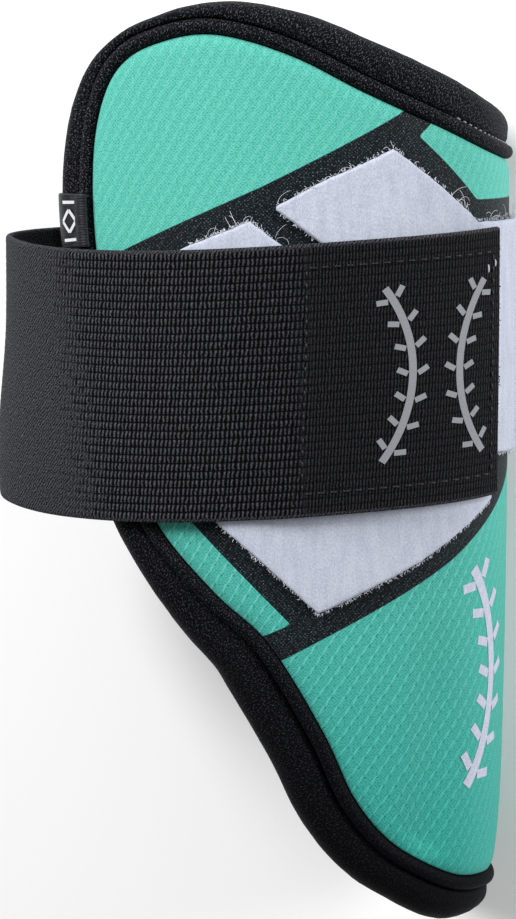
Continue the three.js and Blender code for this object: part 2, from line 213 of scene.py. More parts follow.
def wrap_at(length, height):
    """The wrap at a number of millimetres from the front ridge."""
    wrap = np.asarray(length, float) / WRAP_LENGTH
    for _ in range(5):
        ahead = arc_length(wrap + 0.002, height) - arc_length(wrap, height)
        wrap = wrap + (length - arc_length(wrap, height)) / ahead * 0.002
    return wrap


def measure_outline():
    """The half outline as close samples: share of its length, wrap, height and rim width."""
    mirror = np.array([-1, 1, 1])
    rows = np.vstack([OUTLINE[1] * mirror, OUTLINE, OUTLINE[-2] * mirror])
    s = np.arange(OUTLINE_STEPS)[:, None] / OUTLINE_STEPS
    line = [
        0.5 * (2 * b + (c - a) * s + (2 * a - 5 * b + 4 * c - d) * s**2
               + (3 * b - 3 * c + d - a) * s**3)
        for a, b, c, d in zip(rows, rows[1:], rows[2:], rows[3:])
    ]
    line = np.vstack([*line, OUTLINE[-1:]])
    steps = np.linalg.norm(np.diff(form_point(line[:, 0], line[:, 1]), axis=0), axis=1)
    length = np.concatenate([[0], np.cumsum(steps)])
    return np.column_stack([length / length[-1], line]), length[-1]


outline, outline_length = measure_outline()


def edge_spot(along):
    turn = np.mod(along, 2)
    share = np.where(turn > 1, 2 - turn, turn)
    wrap, height, rim = (np.interp(share, outline[:, 0], outline[:, k]) for k in (1, 2, 3))
    return np.where(turn > 1, -wrap, wrap), height, rim


class Edge:
    """The cover's edge at places along it: 0 at the ridge's top, 1 at its bottom by way of the
    near side, and 2 back at the top by way of the far side."""

    def __init__(self, along):
        reach = 0.5 / HALF_STATIONS
        self.along = along
        self.wrap, self.height, rim = edge_spot(along)
        self.roll = rim * RIM_WIDTH
        self.origin = form_point(self.wrap, self.height)
        self.normal = form_normal(self.wrap, self.height)
        ahead, behind = edge_spot(along + reach), edge_spot(along - reach)
        run = form_point(*ahead[:2]) - form_point(*behind[:2])
        self.outward = unit(np.cross(run, self.normal))

    def at(self, out, depth):
        out, depth = (np.broadcast_to(v, self.wrap.shape)[:, None] for v in (out, depth))
        return self.origin + self.outward * out + self.normal * depth

    def inside(self, share, depth):
        """A point on the way from the middle of the cover to its edge."""
        return layer_point(self.wrap * share, 0.5 + (self.height - 0.5) * share, depth)

    def share(self, inset):
        """How far along that way a point lies a number of millimetres inside the edge."""
        step = self.inside(1, 0) - self.inside(0.998, 0)
        return 1 - inset * 0.002 / (step * self.outward).sum(-1)


def waves(points, pitch, seed, count=6):
    """Gentle unevenness from -1 to 1 at a pitch in millimetres, the same on each run."""
    rng = np.random.default_rng(seed)
    total = 0
    for k in range(count):
        way = unit(rng.normal(size=3)) * 2 * math.pi / (pitch * (0.6 + 0.2 * k))
        total = total + np.sin(points @ way + rng.uniform(0, 6.3))
    return total / count


def turned(points):
    """From the guard's own frame to the way it lies on its far side, still in millimetres."""
    over = Matrix.Rotation(LAY_OVER, 3, "X")
    roll = Matrix.Rotation(REST_ROLL, 3, "Y")
    return points @ np.array(roll @ over).T


MERGE_WITHIN = 2e-6  # metres


def grid_mesh(name, grids):
    """One mesh from grids of points in the guard's own frame. Each grid is (points, maps): points
    are rows of columns, and maps are UV maps in the same layout. Seams and poles are closed.
    Grids of one size are made side by side, and the faces between them are taken out."""
    whole = bmesh.new()
    for rows, own in sorted({points.shape[:2] for points, _ in grids}):
        alike = [grid for grid in grids if grid[0].shape[:2] == (rows, own)]
        points = np.concatenate([grid[0] for grid in alike], axis=1)
        maps = {title: np.concatenate([grid[1][title] for grid in alike], axis=1)
                for title in alike[0][1]}
        columns = own * len(alike)
        shape = bmesh.new()
        bmesh.ops.create_grid(shape, x_segments=columns - 1, y_segments=rows - 1, size=1)
        if len(alike) > 1:
            between = [face for face in shape.faces if own - 1 == int(
                (face.calc_center_median().x + 1) / 2 * (columns - 1)) % own]
            bmesh.ops.delete(shape, geom=between, context="FACES")
        mesh = bpy.data.meshes.new(name)
        shape.to_mesh(mesh)
        shape.free()
        spots = np.empty(len(mesh.vertices) * 3, np.float32)
        mesh.vertices.foreach_get("co", spots)
        spots = spots.reshape(-1, 3)[:, :2]
        low, high = spots.min(0), spots.max(0)
        at = np.rint((spots - low) / (high - low) * (columns - 1, rows - 1)).astype(int)
        placed = (turned(points[at[:, 1], at[:, 0]]) + rest_shift) / 1000
        placed[:, 2] = np.maximum(placed[:, 2], 0)  # soft pieces flatten where they lie
        mesh.vertices.foreach_set("co", placed.astype(np.float32).ravel())
        corner = np.empty(len(mesh.loops), np.int32)
        mesh.loops.foreach_get("vertex_index", corner)
        for title, values in maps.items():
            layer = mesh.uv_layers.new(name=title)
            flat = values[at[:, 1], at[:, 0]][corner]
            layer.data.foreach_set("uv", flat.astype(np.float32).ravel())
        whole.from_mesh(mesh)
        bpy.data.meshes.remove(mesh)
    bmesh.ops.remove_doubles(whole, verts=whole.verts, dist=MERGE_WITHIN)
    bmesh.ops.recalc_face_normals(whole, faces=whole.faces)
    mesh = bpy.data.meshes.new(name)
    whole.to_mesh(mesh)
    whole.free()
    return mesh


def in_scene(name, data):
    """A new object in the scene."""
    made = bpy.data.objects.new(name, data)
    bpy.context.scene.collection.objects.link(made)
    return made


def add_piece(name, grids, material, *nodes, slot, rounded=True):
    """A finished piece of the guard, which moves with it and stands for the nodes named."""
    mesh = grid_mesh(name, grids)
    mesh.polygons.foreach_set("use_smooth", [rounded] * len(mesh.polygons))
    mesh.materials.append(material)
    piece = in_scene(name, mesh)
    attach(piece, "root")
    if nodes:
        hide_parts(*nodes)
    return piece


def pair(first, second):
    return np.stack(np.broadcast_arrays(first, second), -1)


AROUND = 14 * HALF_STATIONS  # columns round the cover
around = Edge(np.arange(AROUND + 1) * 2 / AROUND)


def teal_margin(wrap, height):
    """Millimetres inside the teal areas of the print (+) or outside them (-). The print is laid
    out with straight lines on the flat cloth, and both sides of the ridge are alike."""
    side = np.abs(wrap)

    def line(a, b):
        slope = (b[1] - a[1]) / (b[0] - a[0])
        return a[1] + slope * (side - a[0])

    top = height - np.maximum.reduce([
        line((0.736, 0.715), (0.69, 0.728)),
        line((0.69, 0.728), (0.506, 0.795)),
        line((0.506, 0.795), (0.318, 0.872)),
    ])
    front = np.minimum(
        height - np.maximum(line((0.294, 0.847), (0.182, 0.78)), 0.78),
        line((0.273, 0.859), (0.294, 0.847)) - height,
    )
    back = np.minimum(
        line((0.587, 0.445), (0.479, 0.339)) - height,
        height - line((0.479, 0.339), (0.519, 0.326)),
    )
    bottom = np.maximum(
        line((0.502, 0.299), (0.228, 0.403)),
        line((0.228, 0.403), (0, 0.503)),
    ) - height
    return np.maximum.reduce([top, front, back, bottom]) * GUARD_HEIGHT


def crease(wrap, height):
    """Millimetres that the face sinks along a soft crease on each side of the ridge."""
    away = (arc_length(np.abs(wrap), height) - CREASE_FROM_RIDGE) / CREASE_WIDTH
    low = np.clip((CREASE_TOP - height * GUARD_HEIGHT) / CREASE_FADE, 0, 1)
    return CREASE_DEPTH * np.exp(-away**2) * low * low * (3 - 2 * low)


def cover_grid():
    """The stiff shell in its fabric: the face puffs down to its seam, and the back is plain."""
    rows, spots = [], []

    def add(share, depth, sunk=0):
        wrap, height = around.wrap * share, 0.5 + (around.height - 0.5) * share
        rows.append(around.inside(share, depth - sunk * crease(wrap, height)))
        spots.append((wrap, height))

    face, puff, wall, back = 71, 10, 3, 11  # steps over each part of the section
    for k in range(face + 1):
        add(around.share(EDGE_DROP_WIDTH) * k / face, 0, 1)
    for k in range(1, puff + 1):
        down = k / puff
        add(around.share(EDGE_DROP_WIDTH * (1 - down)), -EDGE_DROP * down**2.7, 1 - down)
    for k in range(1, wall + 1):
        add(np.ones(AROUND + 1), -EDGE_DROP + (COVER_INNER + EDGE_DROP) * k / wall)
    for k in range(back, -1, -1):
        add(around.share(EDGE_DROP_WIDTH) * k / back, COVER_INNER)
    wrap, height = (np.array([s[k] for s in spots]) for k in (0, 1))
    maps = {
        "cloth": pair(arc_length(wrap, height), height * GUARD_HEIGHT),
        "print": pair(teal_margin(wrap, height), 0),
    }
    return np.array(rows), maps


def roll_profile(roll, steps=22):
    """The rolled rim's section past the cover's edge, from the seam over the crest and round to
    the inner face: rows of (out, depth)."""
    start = PIPING_DIAMETER + 2 * LAYER_GAP
    crest = start + (roll - start) * 0.4
    middle = (LINER_INNER - RIM_CREST) / 2
    half = (-RIM_CREST - LINER_INNER) / 2
    rise = [(start, LINER_OUTER), (start, -1.9), (start + (crest - start) * 0.06, -1.1),
            (start + (crest - start) * 0.35, -RIM_CREST - 0.2)]
    turn = math.pi / 2 - math.pi * np.arange(steps + 1) / steps
    return rise + [
        (crest + (roll - crest) * math.cos(t), middle + half * math.sin(t)) for t in turn
    ]


def liner_grid():
    """The foam pad with its lining and the rim rolled outwards round its edge."""
    rows = [around.inside(around.share(EDGE_DROP_WIDTH) * k / 5, LINER_OUTER) for k in range(6)]
    rows.append(around.at(0, LINER_OUTER))
    rolled = [around.at(*spot) for spot in roll_profile(around.roll)]
    rows += rolled + [around.inside(k / 30, LINER_INNER) for k in range(30, -1, -1)]
    rows = np.array(rows)
    creases = waves(rows, 9, 5) * 0.16 + waves(rows, 4, 8) * 0.07
    soft = np.zeros(len(rows))  # the lining creases most on the roll, and less inside
    soft[9:7 + len(rolled)] = 1
    soft[7 + len(rolled):-1] = 0.6
    out = around.normal + around.outward
    rows = rows + unit(out) * (creases * soft[:, None])[..., None]
    across = np.cumsum(np.linalg.norm(np.diff(rows, axis=0, prepend=rows[:1]), axis=2), axis=0)
    maps = {"cloth": pair(around.along * outline_length, across)}
    return rows, maps


def piping_grid():
    """The corded piping in the seam between the cover and the rolled rim."""
    radius = PIPING_DIAMETER / 2
    edge = Edge(np.arange(2 * AROUND + 1) / AROUND)
    rows, sides = [], 16
    for k in range(sides + 1):
        turn = 2 * math.pi * k / sides
        rows.append(edge.at(
            LAYER_GAP + radius + radius * math.cos(turn),
            PIPING_PROUD - radius + radius * math.sin(turn),
        ))
    across = np.arange(sides + 1)[:, None] * 0.79  # millimetres from side to side
    maps = {"cloth": pair(edge.along * outline_length, across)}
    return np.array(rows), maps


def pillow_grid(wraps, low, high, inner, outer, rows, rounding, relief=None, ragged=0):
    """A sheet of cloth on the form, face and back, with rounded edges all round. relief adds
    millimetres to the face and takes them off the back, by the place on the cloth, and ragged
    is how far a cut edge wanders."""
    wraps = np.asarray(wraps)
    middle = (low + high) / 2
    across = (high - low) * GUARD_HEIGHT
    edge_steps = np.array([0, 0.08, 0.3, 0.65]) * rounding
    inner_rows = np.linspace(0, 1, rows)
    place = np.vstack([
        edge_steps[:, None] + 0 * across,
        rounding + inner_rows[:, None] * (across - 2 * rounding),
        across - edge_steps[::-1, None],
    ])
    height = low + place / GUARD_HEIGHT
    length = arc_length(wraps, middle)
    from_side = np.minimum(place, across - place)
    from_end = np.minimum(length - length[0], length[-1] - length)
    depth = np.minimum(from_side, from_end[None, :])
    swell = np.sqrt(1 - (1 - np.clip(depth / rounding, 0, 1)) ** 2)
    centre, half = (inner + outer) / 2, (outer - inner) / 2
    wrap = np.broadcast_to(wraps, height.shape)
    cloth = pair(arc_length(wrap, height), (height - middle) * GUARD_HEIGHT)
    if ragged:
        spot = layer_point(wrap, height, 0 * wrap)
        near = 1 - np.clip(depth / 4, 0, 1)
        height = height + waves(spot, 3.1, 3) * near * ragged / GUARD_HEIGHT
        wrap = wrap + waves(spot + 40, 2.7, 4) * near * ragged / WRAP_LENGTH
    lift = 0 if relief is None else relief(cloth[..., 0], cloth[..., 1]) * swell
    face = layer_point(wrap, height, centre + half * swell + lift)
    back = layer_point(wrap, height, centre - half * swell - lift)
    maps = {"cloth": np.concatenate([cloth, cloth[::-1]])}
    return np.concatenate([face, back[::-1]]), maps


def spread(stops, spacing, ends=()):
    """Wraps no further apart than a spacing in millimetres, through all the stops. ends adds
    closer columns at both ends, in millimetres from them."""
    wraps = []
    for a, b in zip(stops, stops[1:]):
        steps = max(1, math.ceil(abs(b - a) * LONGEST_WRAP / spacing))
        wraps += list(np.linspace(a, b, steps, endpoint=False))
    wraps.append(stops[-1])
    wraps += [stops[0] + e / WRAP_LENGTH for e in ends]
    wraps += [stops[-1] - e / WRAP_LENGTH for e in ends]
    return np.array(sorted(wraps))


def patch_grid(table, side=1):
    """White loop pile, cut to shape and sewn on: its face is uneven and its edges are frayed."""
    wraps = spread(list(table[:, 0]), 1.3, (0.1, 0.4, 0.9))
    low, high = (np.interp(wraps, table[:, 0], table[:, k]) for k in (1, 2))

    def pile(u, v):
        spots = np.stack([u, v, 0 * u], -1)
        return waves(spots, 3.3, 11) * 0.07 + waves(spots, 1.7, 12) * 0.05

    points, maps = pillow_grid(wraps, low, high, PATCH_INNER, PATCH_INNER + PATCH_WALL,
                               rows=60, rounding=0.9, ragged=0.2)
    half = len(points) // 2
    u, v = maps["cloth"][:half, :, 0], maps["cloth"][:half, :, 1]
    inside = np.linalg.norm(points[:half] - points[:half - 1:-1], axis=-1) / PATCH_WALL
    out = unit(points[:half] - points[:half - 1:-1] + 1e-6)
    points[:half] += out * (pile(u, v) * inside)[..., None]
    return points * (1, side, 1), maps


def strap_span(wrap, width, inset=0):
    middle = smooth(STRAP_LINE, wrap, 1)
    half = (width / 2 - inset) / GUARD_HEIGHT
    return middle - half, middle + half


STRAP_LEVEL = 0.6  # share of the height at which lengths along the strap are taken


def along_strap(wrap):
    """Millimetres along the strap's line from the front ridge to a wrap."""
    return arc_length(wrap, STRAP_LEVEL)


tab_front = float(wrap_at(along_strap(STRAP_FRONT_WRAP) + LAYER_GAP * 4, STRAP_LEVEL))
tab_back = float(wrap_at(along_strap(tab_front) + HOOK_TAB_LENGTH, STRAP_LEVEL))
SLACK_FROM = float(arc_length(0.738, 0.59))  # the strap is slack from here round the back
HELD_TO = float(along_strap(0.452))  # and held by the hook strip up to here


def strap_inner(wrap):
    """How far over the cover the strap's inner face runs: higher where the hook strip is."""
    past = along_strap(wrap) - along_strap(tab_back) - 1
    ramp = np.clip(past / (STRAP_RAMP - 1), 0, 1)
    ramp = ramp * ramp * (3 - 2 * ramp)
    return STRAP_OVER_TAB + (STRAP_INNER - STRAP_OVER_TAB) * ramp


def strap_grid():
    """The wide woven elastic: its ribs run along it, and its free end is cut."""
    wraps = spread([STRAP_FRONT_WRAP, 0.4, 0.8, 1.2, STRAP_SEWN_WRAP], 1.25, (0.08, 0.3, 0.65, 1))
    length = along_strap(wraps)
    from_end = np.minimum(length - length[0], length[-1] - length)
    rounding = np.clip(STRAP_END_ROUND - from_end, 0, None)
    cut = STRAP_END_ROUND - np.sqrt(STRAP_END_ROUND**2 - rounding**2)
    low, high = strap_span(wraps, STRAP_WIDTH)
    low, high = low + cut / GUARD_HEIGHT, high - cut / GUARD_HEIGHT
    inner = strap_inner(wraps)

    def ribs(u, v):
        slack = np.clip((u - SLACK_FROM) / 9, 0, 0.8)
        held = np.clip((HELD_TO + 3 - u) / 6, 0, 0.7)
        return (0.1 * np.cos(v / RIB_PITCH * 2 * math.pi) - 0.06) * (1 - slack) * (1 - held)

    return pillow_grid(wraps, low, high, inner, inner + STRAP_WALL,
                       rows=204, rounding=0.9, relief=ribs)


def hook_tab_grid():
    wraps = spread([tab_front, tab_back], 2, (0.1, 0.4))
    low, high = strap_span(wraps, STRAP_WIDTH, HOOK_TAB_INSET)
    return pillow_grid(wraps, low, high, STRAP_INNER, STRAP_INNER + HOOK_TAB_WALL,
                       rows=30, rounding=0.4)


def label_layer(edge, grow):
    """Rows over the piping and round the rolled rim, a number of millimetres off them."""
    profile = [(LAYER_GAP + 0 * grow, PIPING_PROUD + grow),
               (LAYER_GAP + PIPING_DIAMETER + 0 * grow, PIPING_PROUD + grow)]
    heart, middle = edge.roll * 0.45 + 2, (LINER_INNER - RIM_CREST) / 2
    for out, depth in roll_profile(edge.roll, 16)[3:]:
        away = np.hypot(out - heart, depth - middle)
        profile.append((out + grow * (out - heart) / away, depth + grow * (depth - middle) / away))
    return np.array([edge.at(*spot) for spot in profile])


def label_grid():
    """The woven label, folded over the piping and round the rolled rim."""
    half = LABEL_LENGTH / 2 / outline_length
    steps = np.concatenate([[-1, -0.99, -0.97], np.linspace(-0.94, 0.94, 40), [0.97, 0.99, 1]])
    edge = Edge(LABEL_ALONG + steps * half)
    swell = np.sqrt(np.clip(1 - (1 - np.clip((1 - np.abs(steps)) / 0.05, 0, 1)) ** 2, 0, 1))

    middle_grow = LAYER_GAP + LABEL_WALL / 2
    face = label_layer(edge, middle_grow + LABEL_WALL / 2 * swell)
    back = label_layer(edge, middle_grow - LABEL_WALL / 2 * swell)
    closed = label_layer(edge, middle_grow + 0 * swell)
    rows = np.concatenate([closed[:1], face, closed[-1:], back[::-1], closed[:1]])
    along = np.broadcast_to(steps * LABEL_LENGTH / 2, rows.shape[:2])
    step = np.arange(len(face))
    across = np.concatenate([[0], step, [len(face)], step[::-1], [0]]) * 1.3
    return rows, {"cloth": pair(along, across[:, None])}


def covered(wrap, height):
    """Whether the strap hides a place of the guard."""
    turn = wrap if wrap >= 0 else 2 + wrap
    away = abs(height - smooth(STRAP_LINE, turn, 1)) * GUARD_HEIGHT
    return STRAP_FRONT_WRAP - 0.01 < turn < STRAP_SEWN_WRAP + 0.01 and away < STRAP_WIDTH / 2 + 1


def on_cover(spots, depth):
    """Spots of (millimetres from the ridge, millimetres up) at a depth over the cover."""
    height = spots[..., 1] / GUARD_HEIGHT
    return layer_point(wrap_at(spots[..., 0], height), height, depth + 0 * height)


# A table of lengths along the strap, because solving for each stitch is slow
strap_wraps = np.linspace(0, 1.6, 500)
strap_run = along_strap(strap_wraps)


def on_strap(spots, depth):
    """Spots of (millimetres from the ridge, millimetres over the strap's middle) on its face."""
    wrap = np.interp(spots[..., 0], strap_run, strap_wraps)
    height = smooth(STRAP_LINE, wrap, 1) + spots[..., 1] / GUARD_HEIGHT
    return layer_point(wrap, height, strap_inner(wrap) + STRAP_WALL + depth)


def on_rim(spots, depth):
    """Spots of (millimetres along the edge from the ridge's top, millimetres outwards)."""
    flat = spots.reshape(-1, 2)
    depth = np.broadcast_to(depth, spots.shape[:-1]).ravel()
    points = Edge(flat[:, 0] / outline_length).at(flat[:, 1], depth)
    return points.reshape(*spots.shape[:-1], 3)


def on_label(spots, depth):
    """Spots of (millimetres along the edge, millimetres across the label from the piping)."""
    flat = spots.reshape(-1, 2)
    edge = Edge(LABEL_ALONG + flat[:, 0] / outline_length)
    depth = np.broadcast_to(depth, spots.shape[:-1]).ravel()
    rows = label_layer(edge, LAYER_GAP + LABEL_WALL + depth)
    run = np.linalg.norm(np.diff(rows, axis=0, prepend=rows[:1]), axis=2).cumsum(0)
    points = [[np.interp(flat[k, 1], run[:, k], rows[:, k, a]) for a in range(3)]
              for k in range(len(flat))]
    return np.array(points).reshape(*spots.shape[:-1], 3)


def stroke_grid(line, width, place, lift, thick):
    """A flat closed band along a line of spots, with square ends."""
    along = unit(np.gradient(line, axis=0))
    side = along[:, ::-1] * (-1, 1) * width / 2
    across, up = np.array([(1, 0), (1, 1), (0, 1), (-1, 1), (-1, 0), (0, 0), (1, 0)]).T
    spots = line + side * across[:, None, None]
    points = place(spots, lift + thick * up[:, None])
    ends = [np.broadcast_to(points[:-1, k].mean(0), (len(up), 1, 3)) for k in (0, -1)]
    points = np.concatenate([ends[0], points, ends[1]], axis=1)
    spots = np.concatenate([spots[:, :1], spots, spots[:, -1:]], axis=1)
    return points, {"cloth": spots}


def seam_strokes(centre, radius, half_angle, gap, seam, leg, pairs):
    """Two ball seams back to back: lines of spots with their widths, each seam with a chevron of
    two stitches every few degrees."""
    strokes = []
    step = np.linspace(0, 1, 4)
    for side in (-1, 1):
        def spots(turn, away):
            reach = radius + away
            across = side * (gap / 2 + radius - reach * np.cos(turn))
            return np.stack([centre[0] + across, centre[1] + reach * np.sin(turn)], -1)

        strokes.append((spots(np.linspace(-half_angle, half_angle, 33), np.zeros(33)), seam))
        for turn in half_angle * (2 * (np.arange(pairs) + 0.5) / pairs - 1):
            for way in (-1, 1):
                away = way * (seam / 2 + 0.4 + step * leg)
                strokes.append((spots(turn + step * leg * 0.55 / radius, away), seam * 0.75))
    return strokes


def tube_grid(path, over, radius, sides):
    """A thin closed tube along a path of points, pointed at both ends."""
    ahead = unit(np.gradient(path, axis=0))
    side = unit(np.cross(ahead, over))
    turn = (np.arange(sides + 1) % sides * 2 * math.pi / sides)[:, None, None]
    ring = np.cos(turn) * side + np.sin(turn) * np.cross(side, ahead)
    slim = np.full(len(path), radius)
    slim[[0, -1]] = 0
    return path + ring * slim[:, None], {}


def stitch_row(start, end, place, pitch, radius, reach=0.72):
    """A row of stitches on the cloth: each dips into it at both ends."""
    start, end = np.array(start, float), np.array(end, float)
    count = max(1, round(np.linalg.norm(end - start) / pitch))
    step = np.linspace(-0.5, 0.5, 5)
    arch = radius * (0.7 - 5.6 * step**2)
    along = (np.arange(count)[:, None] + 0.5 + reach * step) / count
    spots = start + (end - start) * along[..., None]
    paths = place(spots, arch)
    return [tube_grid(path, over, radius, 5)
            for path, over in zip(paths, place(spots, arch + 1) - paths)]


def fibre_grid(rng, wrap, height, way, depth, length, curl, radius):
    """A loose filament that leaves a place of the guard by a way of (wrap, height)."""
    start = layer_point(wrap, height, depth)
    out = unit(form_point(wrap + way[0] / WRAP_LENGTH, height + way[1] / GUARD_HEIGHT)
               - form_point(wrap, height))
    over = form_normal(wrap, height)
    step = np.linspace(0, 1, 9 if length > 2 else 5)[:, None]
    turn = rng.normal(0, 0.5) + step * rng.uniform(-curl, curl)
    rise = rng.uniform(0.05, 0.7) * (1 - 1.4 * step)
    ahead = out * np.cos(turn) + np.cross(over, out) * np.sin(turn) + over * rise
    path = start + (np.cumsum(ahead, axis=0) - ahead[0]) * length / len(step)
    return tube_grid(path, over, radius, 3)


def patch_fibres(table, side, seed, tries=900):
    """Short filaments all round a patch's cut edges, and a few long curly ones on top."""
    rng = np.random.default_rng(seed)
    grids = []
    for k in range(tries):
        wrap = rng.uniform(table[0, 0], table[-1, 0])
        long = k % 11 == 0
        up = 1 if long else rng.integers(0, 2)
        height = np.interp(wrap, table[:, 0], table[:, 1 + up])
        length = rng.uniform(2, 7) if long else rng.uniform(0.4, 1.7)
        if not covered(side * wrap, height):
            grids.append(fibre_grid(
                rng, side * wrap, height, (0, 2 * up - 1), rng.uniform(0.7, 1.8),
                length, 4.5 if long else 1.6, 0.06 if long else 0.075,
            ))
    return grids


def cut_end_fibres(seed, count=150):
    """Dark yarn ends that stand out of the strap's cut end."""
    rng = np.random.default_rng(seed)
    grids = []
    for _ in range(count):
        low, high = strap_span(STRAP_FRONT_WRAP, STRAP_WIDTH, 1)
        grids.append(fibre_grid(
            rng, STRAP_FRONT_WRAP + 0.002, rng.uniform(low, high), (-1, 0),
            STRAP_OVER_TAB + rng.uniform(0.3, 1.7), rng.uniform(0.5, 1.4), 1.2, 0.12,
        ))
    return grids


def rectangle(left, right, low, high):
    """The four sides of a sewn rectangle, as pairs of spots."""
    corners = [(left, low), (right, low), (right, high), (left, high), (left, low)]
    return list(zip(corners, corners[1:]))


def colour(hex_value):
    """An sRGB hex colour as linear red, green, blue and alpha."""
    parts = [int(hex_value[k:k + 2], 16) / 255 for k in (0, 2, 4)]
    return (*(p / 12.92 if p <= 0.04045 else ((p + 0.055) / 1.055) ** 2.4 for p in parts), 1)


def node(tree, kind, *values, out=0, **named):
    """Adds a node, gives its inputs values or links, and returns an output. The kind may carry
    its operation. Names in lower case are the node's settings, and the rest are its inputs."""
    kind, _, operation = kind.partition(" ")
    made = tree.nodes.new("ShaderNode" + kind)
    if operation:
        made.operation = operation
    inputs = dict(enumerate(values))
    for key, value in named.items():
        if key[0].islower():
            setattr(made, key, value)
        else:
            inputs[key] = value
    for key, value in inputs.items():
        if isinstance(value, bpy.types.NodeSocket):
            tree.links.new(value, made.inputs[key])
        else:
            made.inputs[key].default_value = value
    return made.outputs[out]


SMOOTH = {"interpolation_type": "SMOOTHSTEP"}
FLAT = {"noise_dimensions": "2D"}


def new_material(name, roughness, specular, sheen, sheen_tint):
    """A material whose even values are set on its shader's own sockets. Fabrics keep the usual
    refractive index of 1.5, and their sheen is the light that stray fibres catch."""
    material = bpy.data.materials.new(name)
    material.use_nodes = True
    tree = material.node_tree
    shader = tree.nodes["Principled BSDF"]
    for key, value in {
        "Roughness": roughness, "IOR": 1.5, "Specular IOR Level": specular,
        "Sheen Weight": sheen, "Sheen Roughness": 0.5, "Sheen Tint": colour(sheen_tint),
    }.items():
        shader.inputs[key].default_value = value
    return material, functools.partial(node, tree), shader


def finish_with(add, shader, base, height, strength, depth):
    """Links a colour and a relief: a height of 1 stands depth millimetres proud."""
    tree = shader.id_data
    tree.links.new(base, shader.inputs["Base Color"])
    relief = add("Bump", Height=height, Strength=strength, Distance=depth / 1000)
    tree.links.new(relief, shader.inputs["Normal"])


def mixed(add, factor, first, second):
    """Two colours mixed by a factor."""
    return add("Mix", Factor=factor, A=first, B=second, out="Result", data_type="RGBA")


def off_centre(add, share):
    """How far a share from 0 to 1 lies from its middle."""
    share = add("Math SUBTRACT", share, 0.5)
    return add("Math ABSOLUTE", share)


def ripple(add, run, pitch):
    """A wave from -1 to 1 that repeats at a pitch in millimetres."""
    run = add("Math MULTIPLY", run, 2 * math.pi / pitch)
    return add("Math SINE", run)


